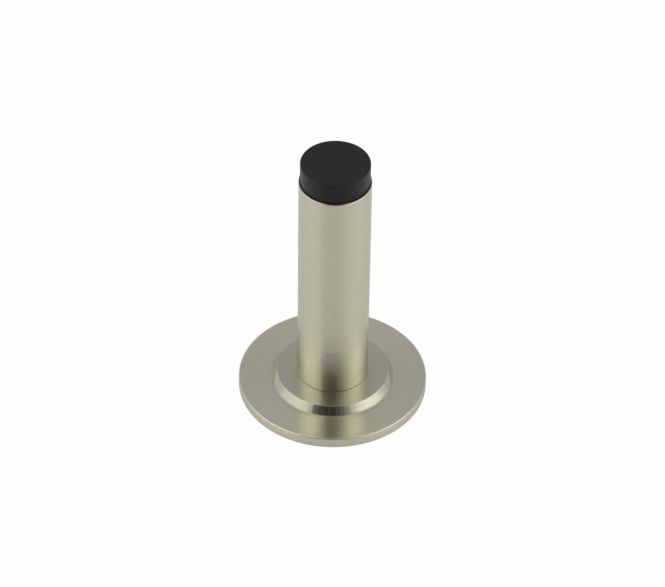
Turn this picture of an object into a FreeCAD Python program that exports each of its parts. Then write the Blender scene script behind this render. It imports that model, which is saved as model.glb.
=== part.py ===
import FreeCAD, Part
import math
import os

# A wall door stop that stands on its rose, as it is seen before it is fitted to a wall.
# The origin is the middle of the wall face, and +Z runs out of the wall along the post.
# All sizes are in millimetres.

# Rose: turned from one blank, with a bevelled step in the middle and a hollow back
rose_diameter = 50.0
rim_height = 2.9
rim_edge_radius = 0.3
step_foot_diameter = 32.4
step_top_diameter = 29.6
step_height = 2.2
step_land_height = 0.25
step_edge_chamfer = 0.1
rim_wall = 3.8
cover_thickness = 0.9
step_wall = 1.8
web_thickness = 1.4

# Post: turned from solid bar, with a tapped foot and a socket for the buffer
post_diameter = 18.75
post_length = 64.8
post_edge_chamfer = 0.2
spigot_diameter = 10.0
spigot_gap = 0.3
spigot_edge_chamfer = 0.3
tap_run_out = 3.0
drill_point_angle = 118.0
socket_neck_diameter = 8.0
socket_neck_length = 3.0
socket_chamber_diameter = 10.4
socket_chamber_length = 5.5

# Buffer: moulded rubber, held in the socket by the barb on its stem
buffer_diameter = 18.0
buffer_length = 6.1
buffer_edge_radius = 0.2
lip_diameter = 18.6
lip_thickness = 0.3
lip_edge_chamfer = 0.1
barb_length = 4.0
barb_tip_diameter = 6.0

# Mounting plate: a turned steel disc with a tapped hub and countersunk wall screw holes
hub_diameter = 14.0
plate_edge_chamfer = 0.3
screw_count = 3
screw_circle_diameter = 31.0
screw_hole_diameter = 3.8
screw_hole_land = 0.3
screw_head_angle = 90.0

# Stud: a threaded rod, drawn at the thread's outer size
stud_diameter = 6.0
stud_engagement = 12.0
stud_recess = 0.4
stud_end_chamfer = 0.8

# Clearances, each measured on one side
plate_gap = 0.2
plate_cover_gap = 0.1
spigot_clearance = 0.1
thread_clearance = 0.05
stem_clearance = 0.1
barb_clearance = 0.2

# Heights above the wall face
step_top = rim_height + step_height
post_top = step_top + post_length
buffer_top = post_top + buffer_length
recess_ceiling = rim_height - cover_thickness
pocket_ceiling = step_top - web_thickness
spigot_end = pocket_ceiling + spigot_gap
plate_front = recess_ceiling - plate_cover_gap
tap_end = step_top + stud_engagement + tap_run_out
chamber_top = post_top - socket_neck_length
chamber_floor = chamber_top - socket_chamber_length

# Radii
rose_radius = rose_diameter / 2
recess_radius = rose_radius - rim_wall
step_top_radius = step_top_diameter / 2
pocket_radius = step_top_radius - step_wall
spigot_radius = spigot_diameter / 2
post_radius = post_diameter / 2
stud_radius = stud_diameter / 2
tap_radius = stud_radius + thread_clearance
neck_radius = socket_neck_diameter / 2
chamber_radius = socket_chamber_diameter / 2

AXIS = FreeCAD.Vector(0, 0, 1)
ORIGIN = FreeCAD.Vector(0, 0, 0)
FULL_TURN = 360.0


def tangent_arc(before, corner, after, radius):
    """The start, middle and end of the arc that rounds a corner and touches both of its sides."""
    to_before = (before - corner).normalize()
    to_after = (after - corner).normalize()
    half_angle = to_before.getAngle(to_after) / 2
    reach = radius / math.tan(half_angle)
    inward = (to_before + to_after).normalize()
    middle = corner + inward * (radius / math.sin(half_angle) - radius)
    return corner + to_before * reach, middle, corner + to_after * reach


def turned(corners):
    """Turn an outline round the Z axis. Each corner is (radius, height) or (radius, height, rounding)."""
    points = [FreeCAD.Vector(corner[0], 0, corner[1]) for corner in corners]
    roundings = [corner[2] if len(corner) > 2 else 0 for corner in corners]
    stretches = []
    for i, point in enumerate(points):
        if roundings[i]:
            after = points[(i + 1) % len(points)]
            stretches.append(tangent_arc(points[i - 1], point, after, roundings[i]))
        else:
            stretches.append((point,))
    edges = []
    for i, stretch in enumerate(stretches):
        edges.append(Part.makeLine(stretches[i - 1][-1], stretch[0]))
        if len(stretch) > 1:
            edges.append(Part.Arc(*stretch).toShape())
    return Part.Face(Part.Wire(edges)).revolve(ORIGIN, AXIS, FULL_TURN)


def drill_point(radius):
    """The depth of the cone that a drill leaves at the end of a blind hole."""
    return radius / math.tan(math.radians(drill_point_angle / 2))


def make_rose():
    """The stepped round cover. Its pocket meets the hub, and its centre hole takes the post's spigot."""
    hole_radius = spigot_radius + spigot_clearance
    step_foot_radius = step_foot_diameter / 2
    return turned([
        (rose_radius, 0),
        (rose_radius, rim_height, rim_edge_radius),
        (step_foot_radius, rim_height),
        (step_foot_radius, rim_height + step_land_height),
        (step_top_radius, step_top - step_edge_chamfer),
        (step_top_radius - step_edge_chamfer, step_top),
        (hole_radius, step_top),
        (hole_radius, pocket_ceiling),
        (pocket_radius, pocket_ceiling),
        (pocket_radius, recess_ceiling),
        (recess_radius, recess_ceiling),
        (recess_radius, 0),
    ])


def make_post():
    """The round bar with its spigot and tapped hole at the foot, and the undercut socket at the top."""
    return turned([
        (0, tap_end + drill_point(tap_radius)),
        (tap_radius, tap_end),
        (tap_radius, spigot_end),
        (spigot_radius - spigot_edge_chamfer, spigot_end),
        (spigot_radius, spigot_end + spigot_edge_chamfer),
        (spigot_radius, step_top),
        (post_radius - post_edge_chamfer, step_top),
        (post_radius, step_top + post_edge_chamfer),
        (post_radius, post_top - post_edge_chamfer),
        (post_radius - post_edge_chamfer, post_top),
        (neck_radius, post_top),
        (neck_radius, chamber_top),
        (chamber_radius, chamber_top),
        (chamber_radius, chamber_floor),
        (0, chamber_floor - drill_point(chamber_radius)),
    ])


def make_buffer():
    """The rubber end: a flat-topped head, a thin lip on the post's end, and a barb that fills the socket."""
    buffer_radius = buffer_diameter / 2
    lip_radius = lip_diameter / 2
    stem_radius = neck_radius - stem_clearance
    barb_radius = chamber_radius - barb_clearance
    return turned([
        (0, buffer_top),
        (buffer_radius, buffer_top, buffer_edge_radius),
        (buffer_radius, post_top + lip_thickness),
        (lip_radius - lip_edge_chamfer, post_top + lip_thickness),
        (lip_radius, post_top + lip_thickness - lip_edge_chamfer),
        (lip_radius, post_top),
        (stem_radius, post_top),
        (stem_radius, chamber_top),
        (barb_radius, chamber_top),
        (barb_tip_diameter / 2, chamber_top - barb_length),
        (0, chamber_top - barb_length),
    ])


def screw_hole(angle):
    """A wall screw's hole with its countersink, at an angle round the plate."""
    hole_radius = screw_hole_diameter / 2
    sink_depth = plate_front - screw_hole_land
    head_radius = hole_radius + sink_depth * math.tan(math.radians(screw_head_angle / 2))
    shank = Part.makeCylinder(hole_radius, plate_front)
    sink = Part.makeCone(hole_radius, head_radius, sink_depth)
    sink.translate(AXIS * screw_hole_land)
    hole = shank.fuse(sink)
    hole.translate(FreeCAD.Vector(screw_circle_diameter / 2, 0, 0))
    hole.rotate(ORIGIN, AXIS, angle)
    return hole


def make_mounting_plate():
    """The hidden disc that the wall screws hold. Its hub reaches the rose's pocket and takes the stud."""
    plate_radius = recess_radius - plate_gap
    hub_radius = hub_diameter / 2
    plate = turned([
        (tap_radius, 0),
        (plate_radius, 0),
        (plate_radius, plate_front - plate_edge_chamfer),
        (plate_radius - plate_edge_chamfer, plate_front),
        (hub_radius, plate_front),
        (hub_radius, pocket_ceiling),
        (tap_radius, pocket_ceiling),
    ])
    for i in range(screw_count):
        plate = plate.cut(screw_hole(FULL_TURN / screw_count * i))
    return plate


def make_stud():
    """The threaded rod from the hub into the post, chamfered at both ends."""
    bottom = stud_recess
    top = step_top + stud_engagement
    end_radius = stud_radius - stud_end_chamfer
    return turned([
        (0, bottom),
        (end_radius, bottom),
        (stud_radius, bottom + stud_end_chamfer),
        (stud_radius, top - stud_end_chamfer),
        (end_radius, top),
        (0, top),
    ])


SUB_PARTS = {
    "rose": make_rose,
    "post": make_post,
    "buffer": make_buffer,
    "mounting_plate": make_mounting_plate,
    "stud": make_stud,
}

os.makedirs("parts", exist_ok=True)
for node, make in SUB_PARTS.items():
    shape = make()
    shape.exportStep(f"parts/{node}.step")
    size = shape.optimalBoundingBox(False)
    print(f"{node}: {shape.Volume:.1f} mm3, {size.XLength:.2f} x {size.YLength:.2f} x {size.ZLength:.2f} mm")
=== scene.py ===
# %% [markdown]
# # A wall door stop in brushed satin nickel, with a rubber end
# Every piece of this stop is round, so nearly every surface here is an outline that is turned about one
# axis, as the real pieces are turned on a lathe. What makes the photograph read as metal isn't the shape
# but the finish: fine brush marks that run round the axis and stretch each reflection across them.
# The file first loads the CAD frame, then sets the camera, makes the pieces, gives them their finishes
# and lights them like a small product studio.

# %% Load the CAD frame
import math

import bpy
import numpy as np
from mathutils import Matrix, Vector


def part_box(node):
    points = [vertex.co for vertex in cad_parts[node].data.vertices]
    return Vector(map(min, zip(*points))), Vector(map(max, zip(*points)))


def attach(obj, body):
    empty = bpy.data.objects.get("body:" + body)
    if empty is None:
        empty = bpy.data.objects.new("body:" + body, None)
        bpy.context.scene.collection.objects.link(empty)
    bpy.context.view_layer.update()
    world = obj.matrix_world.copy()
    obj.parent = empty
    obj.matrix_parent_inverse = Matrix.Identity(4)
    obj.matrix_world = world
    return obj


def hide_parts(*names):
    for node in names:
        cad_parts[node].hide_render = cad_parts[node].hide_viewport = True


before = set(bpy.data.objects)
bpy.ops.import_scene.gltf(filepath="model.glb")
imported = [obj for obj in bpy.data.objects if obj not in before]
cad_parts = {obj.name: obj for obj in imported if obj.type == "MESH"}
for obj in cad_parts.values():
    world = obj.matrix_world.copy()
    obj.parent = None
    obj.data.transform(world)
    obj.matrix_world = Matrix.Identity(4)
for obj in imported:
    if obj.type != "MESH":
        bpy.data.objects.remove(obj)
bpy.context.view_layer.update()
print("CAD nodes:", sorted(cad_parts))

# %% [markdown]
# ## Camera
# The photograph was taken from about 42 degrees above the table with a long lens, so the sides of the
# post run almost parallel. The camera is placed by its distance, height angle and a small roll round its
# own line of sight, aimed at a point half way up the post. The lens follows from the distance in pixels
# at which the stop appears at its true size.

# %% Camera
MM = 0.001
PICTURE_WIDTH = 665
SENSOR_WIDTH_MM = 36.0
FOCAL_LENGTH_PIXELS = 3344.4
CAMERA_DISTANCE_MM = 874.4
CAMERA_ELEVATION = math.radians(41.795)
CAMERA_ROLL = math.radians(0.827)
AIM_MM = (-0.301, 0.0, 31.74)


def make_camera():
    """Put the camera back from the aim along a line tilted up from -Y, and turn it by the roll."""
    toward_camera = Vector((0, -math.cos(CAMERA_ELEVATION), math.sin(CAMERA_ELEVATION)))
    level_right = Vector((1, 0, 0))
    level_up = toward_camera.cross(level_right)
    right = level_right * math.cos(CAMERA_ROLL) + level_up * math.sin(CAMERA_ROLL)
    up = toward_camera.cross(right)
    turn = Matrix((right, up, toward_camera)).transposed().to_4x4()
    place = (Vector(AIM_MM) + toward_camera * CAMERA_DISTANCE_MM) * MM
    data = bpy.data.cameras.new("camera")
    data.sensor_width = SENSOR_WIDTH_MM
    data.lens = FOCAL_LENGTH_PIXELS / PICTURE_WIDTH * SENSOR_WIDTH_MM
    camera = bpy.data.objects.new("camera", data)
    camera.matrix_world = Matrix.Translation(place) @ turn
    bpy.context.scene.collection.objects.link(camera)
    bpy.context.scene.camera = camera
    print(f"camera: {data.lens:.1f} mm lens, {CAMERA_DISTANCE_MM:.0f} mm away")


make_camera()

# %% [markdown]
# ## Turned surfaces
# A lathe makes a solid by moving a tool along an outline while the work spins. The same idea gives the
# mesh: an outline of radius and height, each corner rounded by a true arc, is repeated round the axis.
# No edge on real turned metal is perfectly sharp, and the tiny arcs are what catch the thin bright lines
# along every rim. Blender's Screw modifier spins an outline too, but it guesses the surface's direction
# from the faces. Here each arc's centre is known, so each vertex gets its exact surface normal, and
# reflections run smoothly over the flats and bend only at the arcs.

# %% Rounded outlines
ARC_STEPS = 7


def unit(vectors):
    """Each row divided by its length."""
    return vectors / np.linalg.norm(vectors, axis=-1, keepdims=True)


def rounded(before, corner, after):
    """Points and outward normals of the arcs that round the corners of an anticlockwise outline.

    A row is (radius, height, rounding, finish). An arc's centre lies on the line that halves the corner,
    at the rounding divided by the sine of half the angle. The arc's points are the centre plus the
    rounding times a unit vector that swings evenly from one touching point to the other.
    """
    point, rounding = corner[:, :2], corner[:, 2:3]
    back, ahead = unit(before[:, :2] - point), unit(after[:, :2] - point)
    half = np.arccos((back * ahead).sum(1, keepdims=True)) / 2
    to_centre = unit(back + ahead) / np.sin(half)
    first, last = back / np.tan(half) - to_centre, ahead / np.tan(half) - to_centre
    swing = math.pi - 2 * half[:, :, None]
    share = np.linspace(0, 1, ARC_STEPS)[None, :, None]
    spoke = np.sin((1 - share) * swing) * first[:, None] + np.sin(share * swing) * last[:, None]
    spoke = spoke / np.sin(swing)
    points = point[:, None] + rounding[:, None] * (to_centre[:, None] + spoke)
    bulges = np.sign(back[:, 1] * ahead[:, 0] - back[:, 0] * ahead[:, 1])
    normals = spoke * bulges[:, None, None]
    finish = np.repeat(corner[:, 3].astype(int), ARC_STEPS)
    return points.reshape(-1, 2), normals.reshape(-1, 2), finish


# %% Rings and faces
TURN_STEPS = 384


def spun(pairs):
    """Rings of (x, y, z): x is radius times cosine, y is radius times sine, and z is the height."""
    angle = np.arange(TURN_STEPS) * 2 * math.pi / TURN_STEPS
    across, up = pairs[:, :1], pairs[:, 1:] + 0 * angle
    return np.stack([across * np.cos(angle), across * np.sin(angle), up], -1).reshape(-1, 3)


def ring_faces(rings, steps, joined):
    """Faces from each ring to the next, and if joined from the last ring back to the first."""
    ring = np.arange(rings if joined else rings - 1)[:, None]
    step = np.arange(steps)[None, :]
    next_step = (step + 1) % steps
    start, next_start = ring * steps, (ring + 1) % rings * steps
    corners = [start + step, start + next_step, next_start + next_step, next_start + step]
    return np.stack(corners, -1).reshape(-1, 4)


def end_fans(rings, steps):
    """Triangles from the two vertices that follow all rings, on the axis, to the first and last ring."""
    step = np.arange(steps)
    next_step = (step + 1) % steps
    start, end, last = rings * steps, rings * steps + 1, (rings - 1) * steps
    low = np.stack([np.full(steps, start), next_step, step], -1)
    high = np.stack([last + step, last + next_step, np.full(steps, end)], -1)
    return low, high


print(f"{ARC_STEPS} points round each corner, {TURN_STEPS} steps round the axis")

# %% Pieces


def make_piece(name, vertices, faces, finish, normals=None):
    """A smooth piece from vertices in millimetres, with a material index for each face."""
    mesh = bpy.data.meshes.new(name)
    mesh.from_pydata((vertices * MM).tolist(), [], faces)
    mesh.polygons.foreach_set("use_smooth", np.ones(len(faces), bool))
    mesh.polygons.foreach_set("material_index", np.asarray(finish, np.int32))
    if normals is not None:
        mesh.normals_split_custom_set_from_vertices(normals.tolist())
    mesh.update()
    piece = bpy.data.objects.new(name, mesh)
    bpy.context.scene.collection.objects.link(piece)
    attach(piece, "root")
    low, high = vertices.min(0), vertices.max(0)
    print(f"{name}: {len(faces)} faces, {high[0] - low[0]:.2f} mm across, {low[2]:.2f} to {high[2]:.2f} mm up")
    return piece


def turned_loop(name, corners):
    """Turn a closed outline that stays clear of the axis."""
    corners = np.array(corners, float)
    points, normals, finish = rounded(np.roll(corners, 1, 0), corners, np.roll(corners, -1, 0))
    faces = ring_faces(len(points), TURN_STEPS, joined=True).tolist()
    finish = np.repeat(finish, TURN_STEPS)
    return make_piece(name, spun(points), faces, finish, spun(normals))


def turned_solid(name, corners):
    """Turn an outline that starts and ends on the axis, and close it there with a fan at each end."""
    corners = np.array(corners, float)
    points, normals, finish = rounded(corners[:-2], corners[1:-1], corners[2:])
    end_heights = corners[[0, -1], 1]
    ends = np.stack([0 * end_heights, 0 * end_heights, end_heights], -1)
    end_normals = np.array([[0, 0, normals[0, 1]], [0, 0, normals[-1, 1]]])
    low, high = end_fans(len(points), TURN_STEPS)
    faces = ring_faces(len(points), TURN_STEPS, joined=False).tolist() + low.tolist() + high.tolist()
    finish = np.repeat(np.append(finish[:-1], [finish[0], finish[-1]]), TURN_STEPS)
    vertices, facing = np.vstack([spun(points), ends]), np.vstack([spun(normals), end_normals])
    return make_piece(name, vertices, faces, finish, facing)


# %% [markdown]
# ## Sizes
# The frame's boxes give the outer sizes. The rest are the maker's sizes that no box shows: the step and
# its bevel, the hollow behind the rose, and the socket that holds the rubber. A drill leaves a cone at the
# end of a hole, and the two values named as points are the depths of those cones. All are in millimetres.

# %% Sizes from the frame, and the maker's sizes
rose_radius, _, step_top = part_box("rose")[1] / MM
post_radius, _, post_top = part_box("post")[1] / MM
spigot_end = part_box("post")[0].z / MM
lip_radius, _, buffer_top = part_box("buffer")[1] / MM
barb_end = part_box("buffer")[0].z / MM
stud_radius, _, stud_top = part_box("stud")[1] / MM
stud_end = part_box("stud")[0].z / MM
hub_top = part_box("mounting_plate")[1].z / MM

RIM_HEIGHT = 2.9
STEP_FOOT_RADIUS = 16.2
STEP_LAND_HEIGHT = 0.25
STEP_TOP_RADIUS = 14.8
CENTRE_HOLE_RADIUS = 5.1
POCKET_RADIUS = 13.0
RECESS_RADIUS = 21.2
RECESS_CEILING = 2.0
SPIGOT_RADIUS = 5.0
TAP_RADIUS = 3.05
TAP_END = 20.1
TAP_POINT = 1.83
SOCKET_NECK_RADIUS = 4.0
SOCKET_NECK_LENGTH = 3.0
SOCKET_CHAMBER_RADIUS = 5.2
SOCKET_CHAMBER_LENGTH = 5.5
SOCKET_POINT = 3.12
BUFFER_RADIUS = 9.0
LIP_THICKNESS = 0.3
STEM_RADIUS = 3.9
BARB_RADIUS = 5.0
BARB_TIP_RADIUS = 3.0

chamber_top = post_top - SOCKET_NECK_LENGTH
print(f"rose {2 * rose_radius:.1f} mm, post {2 * post_radius:.1f} mm, projection {buffer_top:.1f} mm")

# %% [markdown]
# ## Rose
# The rose is one turned disc with a raised step in the middle. Its rim and faces are brushed, and the
# step's sloping side is left bright from the tool, which is why that narrow band mirrors the studio
# sharply while the rest glows softly. The CAD mesh has this shape too, but its flat facets would show in
# such a bright band. The finish on each corner is the one that the surface after it has.

# %% Rose
BRUSHED, POLISHED, SHADED_STEP_FACE = 0, 1, 2
HIDDEN_ROUNDING = 0.1
RIM_ROUNDING = 0.3
STEP_ROUNDING = 0.12


def make_rose():
    """The disc, its step and bevel, the post's hole and the hollow back, as one closed outline."""
    return turned_loop("stepped_rose", [
        (RECESS_RADIUS, 0, HIDDEN_ROUNDING, BRUSHED),
        (rose_radius, 0, HIDDEN_ROUNDING, BRUSHED),
        (rose_radius, RIM_HEIGHT, RIM_ROUNDING, BRUSHED),
        (STEP_FOOT_RADIUS, RIM_HEIGHT, HIDDEN_ROUNDING, POLISHED),
        (STEP_FOOT_RADIUS, RIM_HEIGHT + STEP_LAND_HEIGHT, STEP_ROUNDING, POLISHED),
        (STEP_TOP_RADIUS, step_top, STEP_ROUNDING, SHADED_STEP_FACE),
        (CENTRE_HOLE_RADIUS, step_top, HIDDEN_ROUNDING, BRUSHED),
        (CENTRE_HOLE_RADIUS, hub_top, HIDDEN_ROUNDING, BRUSHED),
        (POCKET_RADIUS, hub_top, HIDDEN_ROUNDING, BRUSHED),
        (POCKET_RADIUS, RECESS_CEILING, HIDDEN_ROUNDING, BRUSHED),
        (RECESS_RADIUS, RECESS_CEILING, HIDDEN_ROUNDING, BRUSHED),
    ])


rose = make_rose()
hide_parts("rose")

# %% [markdown]
# ## Post
# The post is a solid bar with a small edge break at each end. The one at the top catches a bright line.
# The one at the foot is a little larger, and leaves a thin dark groove where the post stands on the rose.
# The turning marks along the bar could be cut into the mesh, but they are far finer than its faces, so
# they are left to the finish.

# %% Post
POST_ROUNDING = 0.22
FOOT_ROUNDING = 0.32


def make_post():
    """The bar with the tapped hole and spigot at its foot and the undercut socket at its top."""
    chamber_floor = chamber_top - SOCKET_CHAMBER_LENGTH
    return turned_solid("turned_post", [
        (0, TAP_END + TAP_POINT, 0, BRUSHED),
        (TAP_RADIUS, TAP_END, HIDDEN_ROUNDING, BRUSHED),
        (TAP_RADIUS, spigot_end, HIDDEN_ROUNDING, BRUSHED),
        (SPIGOT_RADIUS, spigot_end, POST_ROUNDING, BRUSHED),
        (SPIGOT_RADIUS, step_top, HIDDEN_ROUNDING, BRUSHED),
        (post_radius, step_top, FOOT_ROUNDING, BRUSHED),
        (post_radius, post_top, POST_ROUNDING, BRUSHED),
        (SOCKET_NECK_RADIUS, post_top, HIDDEN_ROUNDING, BRUSHED),
        (SOCKET_NECK_RADIUS, chamber_top, HIDDEN_ROUNDING, BRUSHED),
        (SOCKET_CHAMBER_RADIUS, chamber_top, HIDDEN_ROUNDING, BRUSHED),
        (SOCKET_CHAMBER_RADIUS, chamber_floor, HIDDEN_ROUNDING, BRUSHED),
        (0, chamber_floor - SOCKET_POINT, 0, BRUSHED),
    ])


post = make_post()
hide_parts("post")

# %% [markdown]
# ## Buffer
# The rubber end is moulded in one piece. Its top edge is barely rounded, as the photograph shows, and a
# thin lip hides the joint with the post. The barbed stem below sits in the socket and holds the rubber
# there, and it belongs to the same outline, because the mould makes them together.

# %% Buffer
MOULDED = 0
BUFFER_ROUNDING = 0.2
LIP_ROUNDING = 0.1


def make_buffer():
    """The flat-topped head, the lip, and the barb that the post's socket holds."""
    return turned_solid("rubber_buffer", [
        (0, barb_end, 0, MOULDED),
        (BARB_TIP_RADIUS, barb_end, HIDDEN_ROUNDING, MOULDED),
        (BARB_RADIUS, chamber_top, HIDDEN_ROUNDING, MOULDED),
        (STEM_RADIUS, chamber_top, HIDDEN_ROUNDING, MOULDED),
        (STEM_RADIUS, post_top, HIDDEN_ROUNDING, MOULDED),
        (lip_radius, post_top, LIP_ROUNDING, MOULDED),
        (lip_radius, post_top + LIP_THICKNESS, LIP_ROUNDING, MOULDED),
        (BUFFER_RADIUS, post_top + LIP_THICKNESS, LIP_ROUNDING, MOULDED),
        (BUFFER_RADIUS, buffer_top, BUFFER_ROUNDING, MOULDED),
        (0, buffer_top, 0, MOULDED),
    ])


buffer = make_buffer()
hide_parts("buffer")

# %% [markdown]
# ## Stud
# The stud is the one piece that isn't a plain body of revolution, because a thread is a groove that
# climbs as it goes round. A cutter along a spiral would make it too, but a grid of angle and height is
# simpler: the radius falls by the thread's depth wherever the height, counted in pitches, and the angle,
# counted in turns, are out of step.

# %% Stud
THREAD_PITCH = 1.0
THREAD_DEPTH = 0.58
THREAD_FLAT_SHARE = 0.15
THREAD_STEPS = 64
RINGS_PER_PITCH = 10
STUD_CHAMFER = 0.8


def make_stud():
    """Radius is the full radius less the depth times a triangle wave of height in pitches less angle in turns.

    The wave is stretched past its ends and clipped, which leaves the flats on the crests and roots, and
    the radius is held to a cone at each end.
    """
    rings = int((stud_top - stud_end) / THREAD_PITCH * RINGS_PER_PITCH) + 1
    height = np.linspace(stud_end, stud_top, rings)[:, None]
    turn = np.arange(THREAD_STEPS)[None, :] / THREAD_STEPS
    wave = 1 - np.abs(2 * ((height / THREAD_PITCH - turn) % 1) - 1)
    groove = np.clip((1 + 2 * THREAD_FLAT_SHARE) * wave - THREAD_FLAT_SHARE, 0, 1)
    from_end = np.minimum(height - stud_end, stud_top - height)
    radius = np.minimum(stud_radius - THREAD_DEPTH * groove, stud_radius - STUD_CHAMFER + from_end)
    angle = 2 * math.pi * turn
    sides = np.stack([radius * np.cos(angle), radius * np.sin(angle), height + 0 * angle], -1).reshape(-1, 3)
    low, high = end_fans(rings, THREAD_STEPS)
    faces = ring_faces(rings, THREAD_STEPS, joined=False).tolist() + low.tolist() + high.tolist()
    vertices = np.vstack([sides, [[0, 0, stud_end], [0, 0, stud_top]]])
    return make_piece("threaded_stud", vertices, faces, np.zeros(len(faces)))


stud = make_stud()
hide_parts("stud")

# %% [markdown]
# ## Materials
# Colours are written as the sRGB hex values that a colour picker shows, and one function turns them to
# the linear values that the renderer mixes. One more function adds a node with its settings and its
# links, so that each material below reads as a short list of what it is made of.

# %% Colour and node helpers


def linear(hex_text):
    """An sRGB hex colour as linear red, green, blue and full alpha: the sRGB curve undone."""
    parts = np.array([int(hex_text[i:i + 2], 16) for i in (0, 2, 4)]) / 255
    light = np.where(parts <= 0.04045, parts / 12.92, ((parts + 0.055) / 1.055) ** 2.4)
    return (*light.tolist(), 1.0)


def add(tree, kind, inputs=None, **settings):
    """Add a node. Settings are its properties. Inputs give each socket a value, or the socket that feeds it."""
    node = tree.nodes.new("ShaderNode" + kind)
    for name, value in settings.items():
        setattr(node, name, value)
    for name, value in (inputs or {}).items():
        if isinstance(value, bpy.types.NodeSocket):
            tree.links.new(value, node.inputs[name])
        else:
            node.inputs[name].default_value = value
    return node


def new_material(name):
    """An empty node material and its tree."""
    material = bpy.data.materials.new(name)
    material.use_nodes = True
    material.node_tree.nodes.clear()
    return material, material.node_tree


print(f"a mid grey of 808080 is {linear('808080')[0]:.3f} in linear light")

# %% [markdown]
# ## Lathe marks
# The brush marks on this stop lie round the axis, because the lathe spun the work while it was brushed.
# A photograph of brushed metal could be wrapped round each piece, but its seam and its fixed light would
# show. Noise that changes fast across the marks and slowly along them has no seam, and tipping the
# surface by it makes each mark catch the light at its own angle.

# %% Lathe marks
NOISE_DETAIL = 2.0
NOISE_ROUGHNESS = 0.6
NOISE_MIDDLE = 0.5


def lathe_marks(tree, place, spacing_mm, length_mm):
    """Noise that changes within a spacing across the radius and height, and within a length round the axis.

    The noise has four coordinates: x and y in lengths, and the radius and the height in spacings.
    """
    per_spacing = 1 / (spacing_mm * MM)
    parts = add(tree, "SeparateXYZ", {"Vector": place})
    flat = add(tree, "CombineXYZ", {"X": parts.outputs["X"], "Y": parts.outputs["Y"]}).outputs["Vector"]
    radius = add(tree, "VectorMath", {0: flat}, operation="LENGTH")
    in_lengths = add(tree, "VectorMath", {0: flat, "Scale": 1 / (length_mm * MM)}, operation="SCALE")
    outward = add(tree, "Math", {0: radius.outputs["Value"], 1: per_spacing}, operation="MULTIPLY")
    upward = add(tree, "Math", {0: parts.outputs["Z"], 1: per_spacing}, operation="MULTIPLY")
    around = add(tree, "SeparateXYZ", {"Vector": in_lengths.outputs["Vector"]})
    spread = add(tree, "CombineXYZ", {"X": around.outputs["X"], "Y": around.outputs["Y"],
                                      "Z": outward.outputs["Value"]})
    return add(tree, "TexNoise", {
        "Vector": spread.outputs["Vector"], "W": upward.outputs["Value"], "Scale": 1.0,
        "Detail": NOISE_DETAIL, "Roughness": NOISE_ROUGHNESS}, noise_dimensions="4D")


def tipped(tree, lay, grooves, marks, groove_tilt, mark_tilt):
    """The surface normal plus a lean across the lay, which is each noise less its middle, times its tilt."""
    normal = add(tree, "NewGeometry").outputs["Normal"]
    across = add(tree, "VectorMath", {0: normal, 1: lay}, operation="CROSS_PRODUCT")
    fine = add(tree, "Math", {0: grooves, 1: groove_tilt, 2: -NOISE_MIDDLE * groove_tilt},
               operation="MULTIPLY_ADD")
    slope = add(tree, "Math", {0: marks, 1: mark_tilt, 2: fine.outputs["Value"]}, operation="MULTIPLY_ADD")
    slope = add(tree, "Math", {0: slope.outputs["Value"], 1: NOISE_MIDDLE * mark_tilt}, operation="SUBTRACT")
    lean = add(tree, "VectorMath", {0: across.outputs["Vector"], "Scale": slope.outputs["Value"]},
               operation="SCALE")
    leaning = add(tree, "VectorMath", {0: normal, 1: lean.outputs["Vector"]}, operation="ADD")
    return add(tree, "VectorMath", {0: leaning.outputs["Vector"]}, operation="NORMALIZE").outputs["Vector"]


# %% [markdown]
# ## Satin nickel
# The stop is brass with nickel plating. Nickel is a warm grey metal, and satin nickel is brushed before
# plating. Marks this fine scatter light far more across themselves than along themselves. The shader does
# that with anisotropy, and a tangent that runs round the axis tells it which way the marks lie. Each
# finish has fine grooves at their real spacing and a few short marks that tip the surface and darken its
# colour: partly dulled plating, partly painted shade held in the marks. Real marks are finer than a
# pixel, which is about a quarter of a millimetre here, so they are drawn coarser.

# %% Nickel
SATIN_NICKEL = "d6d0ba"
# The face's nickel is painted a shade lighter and the step's a shade darker: painted light on the face, painted
# shade on the step beside the post.
FACE_NICKEL_PAINTED_LIGHT = "dcd6c0"
STEP_NICKEL_PAINTED_SHADE = "cdc7b2"
BRIGHT_NICKEL = "cfc9b4"
# The colour that the short marks darken towards: partly dulled plating, partly painted shade held in the marks.
DULL_AND_SHADED_NICKEL = "aaa494"
GROOVE_SPACING_MM = 0.05
GROOVE_LENGTH_MM = 12.0
GROOVE_NOISE_LOW, GROOVE_NOISE_HIGH = 0.35, 0.65
MARK_SPACING_MM = 0.6
MARK_LENGTH_MM = 2.5
WEAR_AND_SHADE_STARTS, WEAR_AND_SHADE_FULL = 0.4, 0.65
QUARTER_TURN = 0.25


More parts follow.
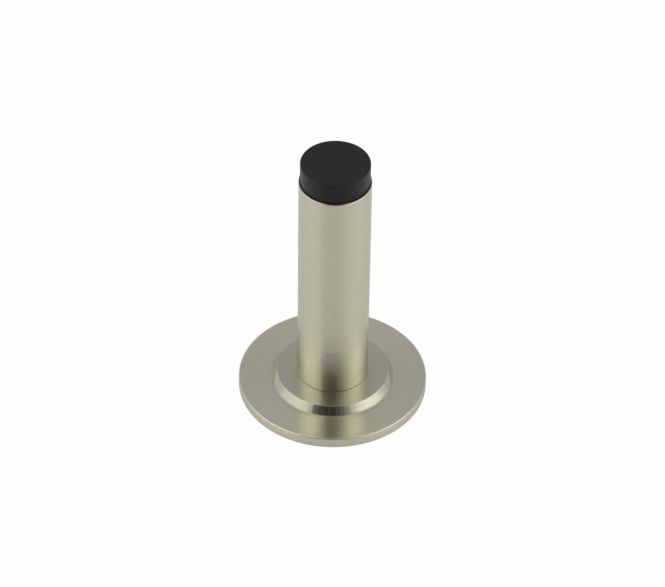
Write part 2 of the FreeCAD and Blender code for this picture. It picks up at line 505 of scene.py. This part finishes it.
def nickel(name, colour, roughness, anisotropy, groove_tilt, mark_tilt, mark_wear_and_shade):
    """Nickel plating over fine lathe grooves, each from smooth to rough, with short marks that darken its
    colour: partly dulled plating, partly painted shade in the marks.

    The quarter turn points the wide side of the scatter across the lay of the marks, not along it.
    """
    material, tree = new_material(name)
    place = add(tree, "TexCoord").outputs["Object"]
    lay = add(tree, "VectorMath", {0: (0, 0, 1), 1: place}, operation="CROSS_PRODUCT")
    lay = add(tree, "VectorMath", {0: lay.outputs["Vector"]}, operation="NORMALIZE").outputs["Vector"]
    grooves = lathe_marks(tree, place, GROOVE_SPACING_MM, GROOVE_LENGTH_MM).outputs["Fac"]
    marks = lathe_marks(tree, place, MARK_SPACING_MM, MARK_LENGTH_MM).outputs["Fac"]
    # The marks darken the plating's colour: dulled plating and painted shade in the marks.
    worn_and_shaded = add(tree, "MapRange", {"Value": marks, "From Min": WEAR_AND_SHADE_STARTS, "From Max": WEAR_AND_SHADE_FULL,
                                  "To Max": mark_wear_and_shade})
    plating = add(tree, "MixRGB", {"Fac": worn_and_shaded.outputs["Result"], "Color1": linear(colour),
                                   "Color2": linear(DULL_AND_SHADED_NICKEL)})
    smooth, rough = roughness
    groove = add(tree, "MapRange", {"Value": grooves, "From Min": GROOVE_NOISE_LOW,
                                    "From Max": GROOVE_NOISE_HIGH, "To Min": smooth, "To Max": rough})
    metal = add(tree, "BsdfPrincipled", {
        "Base Color": plating.outputs["Color"], "Metallic": 1.0, "Roughness": groove.outputs["Result"],
        "Anisotropic": anisotropy, "Anisotropic Rotation": QUARTER_TURN,
        "Tangent": lay, "Normal": tipped(tree, lay, grooves, marks, groove_tilt, mark_tilt)})
    add(tree, "OutputMaterial", {"Surface": metal.outputs["BSDF"]})
    return material


# %% Nickel finishes
FACED = {"roughness": (0.27, 0.32), "anisotropy": 0.65,
         "groove_tilt": 0.3, "mark_tilt": 0.02, "mark_wear_and_shade": 0.05}

# The rose's face is brushed flat, so it glows softly, and its colour is a shade lighter as painted light. The
# step's top is brushed alike, a shade darker as painted shade.
rose.data.materials.append(nickel("satin_nickel_face_painted_light", FACE_NICKEL_PAINTED_LIGHT, **FACED))
# The bevel is bright from the tool, so it mirrors the studio almost sharply.
rose.data.materials.append(nickel("bright_turned_nickel", BRIGHT_NICKEL, roughness=(0.06, 0.09), anisotropy=0.6,
                                  groove_tilt=0.1, mark_tilt=0.12, mark_wear_and_shade=0.15))
# The step's top: the same brushing in a darker colour, which is painted shade beside the post.
rose.data.materials.append(nickel("satin_nickel_step_painted_shade", STEP_NICKEL_PAINTED_SHADE, **FACED))
# The post's marks lie round a bar, so they draw each reflection out into a long upright stripe.
post.data.materials.append(nickel("satin_nickel_turned", SATIN_NICKEL, roughness=(0.16, 0.2), anisotropy=1.0,
                                  groove_tilt=0.6, mark_tilt=0.12, mark_wear_and_shade=0.12))
print("rose finishes:", [material.name for material in rose.data.materials])

# %% [markdown]
# ## Rubber
# The buffer is black rubber moulded against a fine matt mould, so it reflects faintly and widely. Rubber
# also grows a grey bloom with time. Plain black would do from afar, but a small grain that breaks up the
# reflection and faint patches of bloom are what tell rubber from plastic.

# %% Rubber
RUBBER_BLACK = "0f0e0c"
RUBBER_BLOOM = "201e1c"
RUBBER_GRAIN_MM = 0.25
RUBBER_GRAIN_DETAIL = 3.0
RUBBER_GRAIN_DEPTH_MM = 0.01
RUBBER_GRAIN_STRENGTH = 0.5
RUBBER_SMOOTHEST, RUBBER_ROUGHEST = 0.34, 0.46
RUBBER_SHINE = 0.3
RUBBER_BLOOM_MM = 0.8
RUBBER_BLOOM_DETAIL = 4.0
BLOOM_STARTS, BLOOM_FULL = 0.35, 0.7


def rubber():
    """Black moulded rubber with a fine matt grain and faint grey patches of bloom."""
    material, tree = new_material("black_moulded_rubber")
    place = add(tree, "TexCoord").outputs["Object"]
    grain = add(tree, "TexNoise", {"Vector": place, "Scale": 1 / (RUBBER_GRAIN_MM * MM),
                                   "Detail": RUBBER_GRAIN_DETAIL}).outputs["Fac"]
    bump = add(tree, "Bump", {"Height": grain, "Strength": RUBBER_GRAIN_STRENGTH,
                              "Distance": RUBBER_GRAIN_DEPTH_MM * MM})
    matt = add(tree, "MapRange", {"Value": grain, "To Min": RUBBER_SMOOTHEST, "To Max": RUBBER_ROUGHEST})
    patches = add(tree, "TexNoise", {"Vector": place, "Scale": 1 / (RUBBER_BLOOM_MM * MM),
                                     "Detail": RUBBER_BLOOM_DETAIL})
    bloom = add(tree, "MapRange", {"Value": patches.outputs["Fac"], "From Min": BLOOM_STARTS,
                                   "From Max": BLOOM_FULL})
    black = add(tree, "MixRGB", {"Fac": bloom.outputs["Result"], "Color1": linear(RUBBER_BLACK),
                                 "Color2": linear(RUBBER_BLOOM)})
    skin = add(tree, "BsdfPrincipled", {
        "Base Color": black.outputs["Color"], "Roughness": matt.outputs["Result"],
        "Specular IOR Level": RUBBER_SHINE, "Normal": bump.outputs["Normal"]})
    add(tree, "OutputMaterial", {"Surface": skin.outputs["BSDF"]})
    return material


buffer.data.materials.append(rubber())
print("buffer finish:", buffer.data.materials[0].name)

# %% [markdown]
# ## Zinc plated steel
# The hidden plate and stud are turned steel with bright zinc plating: cooler and a little bluer than
# nickel, with turning marks that are wide enough to see. The marks are the same noise as on the nickel,
# used here as a shallow bump, which is enough for pieces that are hidden once the stop is together.

# %% Zinc plated steel
ZINC = "c3c8cd"
ZINC_ROUGHNESS = 0.32
TURNING_SPACING_MM = 0.5
TURNING_LENGTH_MM = 12.0
TURNING_DEPTH_MM = 0.01
TURNING_STRENGTH = 0.6


def zinc_plated_steel():
    """Turned steel under bright zinc plating."""
    material, tree = new_material("zinc_plated_steel")
    place = add(tree, "TexCoord").outputs["Object"]
    marks = lathe_marks(tree, place, TURNING_SPACING_MM, TURNING_LENGTH_MM)
    bump = add(tree, "Bump", {"Height": marks.outputs["Fac"], "Strength": TURNING_STRENGTH,
                              "Distance": TURNING_DEPTH_MM * MM})
    metal = add(tree, "BsdfPrincipled", {
        "Base Color": linear(ZINC), "Metallic": 1.0, "Roughness": ZINC_ROUGHNESS,
        "Normal": bump.outputs["Normal"]})
    add(tree, "OutputMaterial", {"Surface": metal.outputs["BSDF"]})
    return material


zinc = zinc_plated_steel()
stud.data.materials.append(zinc)
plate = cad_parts["mounting_plate"]
plate.data.materials.clear()
plate.data.materials.append(zinc)
print("plate and stud finish:", zinc.name)

# %% [markdown]
# ## Studio
# Metal shows its surroundings, so the light is drawn as a surrounding: a white tent that is brightest to
# the left and right, dimmer behind, and dark where the camera looks in. Lamps would light the stop too,
# but the bright bevel would show each one as a hard spot. The dark opening is what draws the black patch
# in the bevel and the darker stripe down the front of the post. Two lists give the light by compass
# direction, in degrees from the camera's side towards the right: one low down, and one higher up. They
# blend by height, and then into a plain ceiling.

# %% Studio light
LOW_LIGHT = [(-180, 0.72), (-150, 0.78), (-122, 0.68), (-104, 0.73), (-90, 0.96), (-65, 1.04), (-48, 0.95),
             (-37, 0.68), (-32, 0.2), (-25, 0.14), (-19, 0.08), (0, 0.06), (5, 0.05), (10, 0.13), (13, 0.08),
             (17, 0.2), (20, 0.27), (23, 0.34), (28, 0.5), (38, 1.08), (50, 1.42), (66, 1.34), (84, 1.22),
             (104, 0.78), (120, 0.55), (150, 0.72), (180, 0.72)]
HIGH_LIGHT = [(-180, 0.47), (-150, 0.44), (-120, 1.0), (-90, 1.5), (-65, 1.35), (-48, 1.04), (-38, 0.68),
              (-32, 0.2), (-20, 0.09), (-8, 0.04), (-4, 0.09), (-1, 0.02), (4, 0.07), (6, 0.03), (9, 0.14),
              (12, 0.05), (16, 0.2), (20, 0.11), (25, 0.3), (29, 0.22), (36, 0.4), (50, 0.62), (65, 1.1),
              (84, 1.62), (104, 1.35), (120, 0.92), (150, 0.38), (180, 0.47)]
LOW_ENDS = math.radians(10)
HIGH_STARTS = math.radians(42)
TENT_CLOTH = "f7fbff"
CEILING_LIGHT = 1.05
CEILING_STARTS = math.radians(66)
CEILING_FULL = math.radians(84)


def fill_ramp(ramp, stops):
    """Set a ramp from (degrees, grey level) pairs that run from -180 to 180, eased from each to the next."""
    ramp.interpolation = "EASE"
    for degrees, _ in stops[1:-1]:
        ramp.elements.new((degrees + 180) / 360)
    for element, (_, level) in zip(ramp.elements, stops):
        element.color = (level, level, level, 1)


print(f"tent: {len(LOW_LIGHT)} steps of light low down, {len(HIGH_LIGHT)} higher up")

# %% Studio world


def make_world():
    """Light by compass direction: the low list blends into the high one by height, and then the ceiling."""
    world = bpy.data.worlds.new("studio")
    world.use_nodes = True
    bpy.context.scene.world = world
    tree = world.node_tree
    tree.nodes.clear()
    parts = add(tree, "SeparateXYZ", {"Vector": add(tree, "TexCoord").outputs["Generated"]})
    toward = add(tree, "Math", {0: parts.outputs["Y"], 1: -1.0}, operation="MULTIPLY")
    compass = add(tree, "Math", {0: parts.outputs["X"], 1: toward.outputs["Value"]}, operation="ARCTAN2")
    place = add(tree, "MapRange", {"Value": compass.outputs["Value"], "From Min": -math.pi,
                                   "From Max": math.pi})
    low = add(tree, "ValToRGB", {"Fac": place.outputs["Result"]})
    fill_ramp(low.color_ramp, LOW_LIGHT)
    high = add(tree, "ValToRGB", {"Fac": place.outputs["Result"]})
    fill_ramp(high.color_ramp, HIGH_LIGHT)
    height = add(tree, "Math", {0: parts.outputs["Z"]}, operation="ARCSINE")
    rise = add(tree, "MapRange", {"Value": height.outputs["Value"], "From Min": LOW_ENDS,
                                  "From Max": HIGH_STARTS}, interpolation_type="SMOOTHSTEP")
    overhead = add(tree, "MapRange", {"Value": height.outputs["Value"], "From Min": CEILING_STARTS,
                                      "From Max": CEILING_FULL}, interpolation_type="SMOOTHSTEP")
    tent = add(tree, "MixRGB", {"Fac": rise.outputs["Result"], "Color1": low.outputs["Color"],
                                "Color2": high.outputs["Color"]})
    ceiling = add(tree, "RGB")
    ceiling.outputs["Color"].default_value = (CEILING_LIGHT, CEILING_LIGHT, CEILING_LIGHT, 1)
    light = add(tree, "MixRGB", {"Fac": overhead.outputs["Result"], "Color1": tent.outputs["Color"],
                                 "Color2": ceiling.outputs["Color"]})
    cloth = add(tree, "MixRGB", {"Fac": 1.0, "Color1": light.outputs["Color"], "Color2": linear(TENT_CLOTH)},
                blend_type="MULTIPLY")
    lit = add(tree, "Background", {"Color": cloth.outputs["Color"]})
    add(tree, "OutputWorld", {"Surface": lit.outputs["Background"]})
    print("world:", world.name)


make_world()

# %% [markdown]
# ## Floor
# The table is a plain white board with a glossy face, and it lights the stop from below. The background
# of a product photograph is bleached to white paper, so to the camera the board is plain white with a
# trace of the stop's true shadow. In the metal's reflections it is nearly all board, with a little of the
# same white.

# %% Floor
FLOOR_WHITE = "f2f2f1"
FLOOR_ROUGHNESS = 0.12
FLOOR_SHINE = 0.9
FLOOR_SIZE_MM = 3000.0
FLOOR_GAP_MM = 0.03
SHADOW_SHARE = 0.03
MIRROR_SHADOW_SHARE = 0.9


def make_floor():
    """A large square just under the stop. Its camera side is white paper with a share of true shading."""
    half = FLOOR_SIZE_MM / 2 * MM
    corners = [(-half, -half), (half, -half), (half, half), (-half, half)]
    mesh = bpy.data.meshes.new("floor")
    mesh.from_pydata([(x, y, -FLOOR_GAP_MM * MM) for x, y in corners], [], [(0, 1, 2, 3)])
    floor = bpy.data.objects.new("floor", mesh)
    bpy.context.scene.collection.objects.link(floor)
    material, tree = new_material("white_board")
    board = add(tree, "BsdfPrincipled", {"Base Color": linear(FLOOR_WHITE), "Roughness": FLOOR_ROUGHNESS,
                                         "Specular IOR Level": FLOOR_SHINE})
    paper = add(tree, "Emission", {"Strength": 1.0})
    rays = add(tree, "LightPath")
    straight = add(tree, "Math", {0: rays.outputs["Is Camera Ray"], 1: 1 - SHADOW_SHARE}, operation="MULTIPLY")
    bounced = add(tree, "Math", {0: rays.outputs["Is Glossy Ray"], 1: rays.outputs["Is Transmission Ray"]},
                  operation="MAXIMUM")
    mirrored = add(tree, "Math", {0: bounced.outputs["Value"], 1: 1 - MIRROR_SHADOW_SHARE},
                   operation="MULTIPLY")
    seen = add(tree, "Math", {0: straight.outputs["Value"], 1: mirrored.outputs["Value"]},
               operation="MAXIMUM")
    mix = add(tree, "MixShader", {0: seen.outputs["Value"], 1: board.outputs["BSDF"],
                                  2: paper.outputs["Emission"]})
    add(tree, "OutputMaterial", {"Surface": mix.outputs["Shader"]})
    mesh.materials.append(material)
    print(f"floor: {FLOOR_SIZE_MM:.0f} mm square, {material.name}")


make_floor()

# %% [markdown]
# ## Colour management
# The picture is shown as it is mixed, with no film curve.

# %% Colour management
bpy.context.scene.view_settings.view_transform = "Standard"
